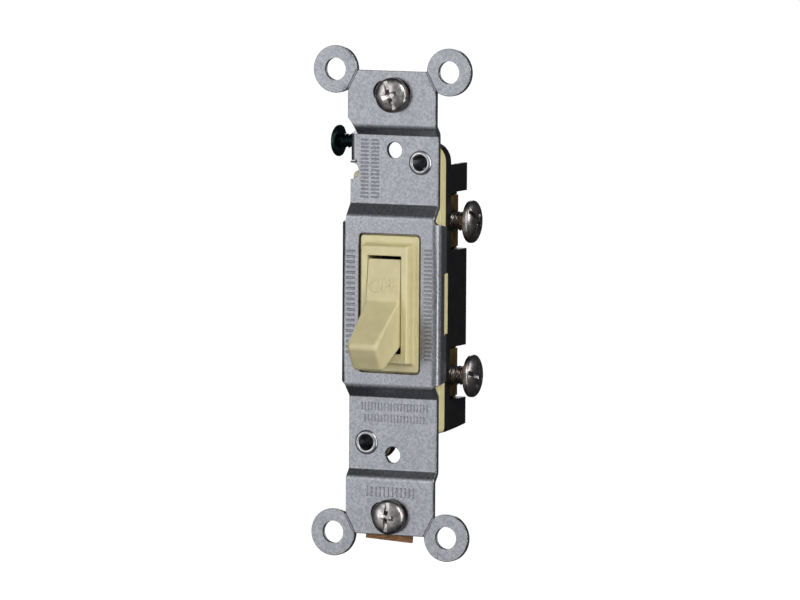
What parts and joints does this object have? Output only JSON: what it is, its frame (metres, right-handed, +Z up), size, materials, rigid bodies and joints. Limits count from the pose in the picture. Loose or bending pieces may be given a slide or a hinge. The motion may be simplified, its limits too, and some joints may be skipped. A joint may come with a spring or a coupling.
{
  "type": "toggle wall switch",
  "caption": "Framed toggle wall switch with a bent steel mounting strap with ears, ivory lever and cover, black side-wired body, terminal and ground screws, and working snap contacts.",
  "frame": {"origin": "on the wall plane, which is the back face of the strap's end plates, midway between the two mounting screws", "axes": "+X to the side with the two terminal screws, +Y back into the wall box, +Z up along the strap, with the toggle's ON side up"},
  "size_m": [0.0338, 0.0329, 0.1012],
  "materials": {
    "galvanised_steel": "zinc-plated sheet, mottled satin",
    "ivory_plastic": "moulded ivory thermoplastic, soft gloss",
    "ivory_toggle": "moulded ivory thermoplastic, soft gloss",
    "black_phenolic": "moulded black phenolic",
    "plated_rivet": "rolled hollow rivet, plated",
    "nickel_steel": "dark nickel-plated steel, polished",
    "green_steel": "dark green dyed screw, glossy",
    "brass": "stamped brass strip",
    "contact_bronze": "phosphor bronze spring strip",
    "contact_silver": "silver alloy contact",
    "spring_steel": "music wire",
    "vulcanised_fibre": "brown vulcanised fibre sheet"
  },
  "bodies": {
    "housing": {"mounting_strap": "galvanised_steel", "front_cover": "ivory_plastic", "rear_body": "black_phenolic", "rivet_upper": "plated_rivet", "rivet_lower": "plated_rivet", "toggle_spring": "spring_steel", "terminal_plate_upper": "brass", "terminal_plate_lower": "brass", "contact_button_fixed": "contact_silver", "contact_arm_rivet": "brass", "screw_retainer_upper": "vulcanised_fibre", "screw_retainer_lower": "vulcanised_fibre"},
    "toggle": {"toggle_lever": "ivory_toggle"},
    "contact_arm": {"contact_arm": "contact_bronze", "contact_button_moving": "contact_silver"},
    "terminal_screw_upper": {"terminal_screw_upper": "nickel_steel"},
    "terminal_screw_lower": {"terminal_screw_lower": "nickel_steel"},
    "ground_screw": {"ground_screw": "green_steel"},
    "mounting_screw_upper": {"mounting_screw_upper": "nickel_steel"},
    "mounting_screw_lower": {"mounting_screw_lower": "nickel_steel"}
  },
  "joints": [
    {"name": "toggle_swing", "type": "hinge", "parent": "housing", "child": "toggle", "pos_m": [0, 0.0016, 0], "axis": [-1, 0, 0], "range_deg": [0, 66], "deforming": ["toggle_spring"]},
    {"name": "contact_arm_flex", "type": "hinge", "parent": "housing", "child": "contact_arm", "pos_m": [0.0035, 0.0108, -0.0112], "axis": [1, 0, 0], "range_deg": [0, 3.35]},
    {"name": "terminal_screw_upper_travel", "type": "slide", "parent": "housing", "child": "terminal_screw_upper", "axis": [-1, 0, 0], "range_m": [0, 0.0033]},
    {"name": "terminal_screw_lower_travel", "type": "slide", "parent": "housing", "child": "terminal_screw_lower", "axis": [-1, 0, 0], "range_m": [0, 0.0036]},
    {"name": "ground_screw_travel", "type": "slide", "parent": "housing", "child": "ground_screw", "axis": [1, 0, 0], "range_m": [0, 0.0034]},
    {"name": "mounting_screw_upper_travel", "type": "slide", "parent": "housing", "child": "mounting_screw_upper", "axis": [0, -1, 0], "range_m": [0, 0.004]},
    {"name": "mounting_screw_lower_travel", "type": "slide", "parent": "housing", "child": "mounting_screw_lower", "axis": [0, -1, 0], "range_m": [0, 0.004]}
  ],
  "couplings": [
    {"joint": "contact_arm_flex", "follows": "toggle_swing", "ratio": 0.05}
  ]
}
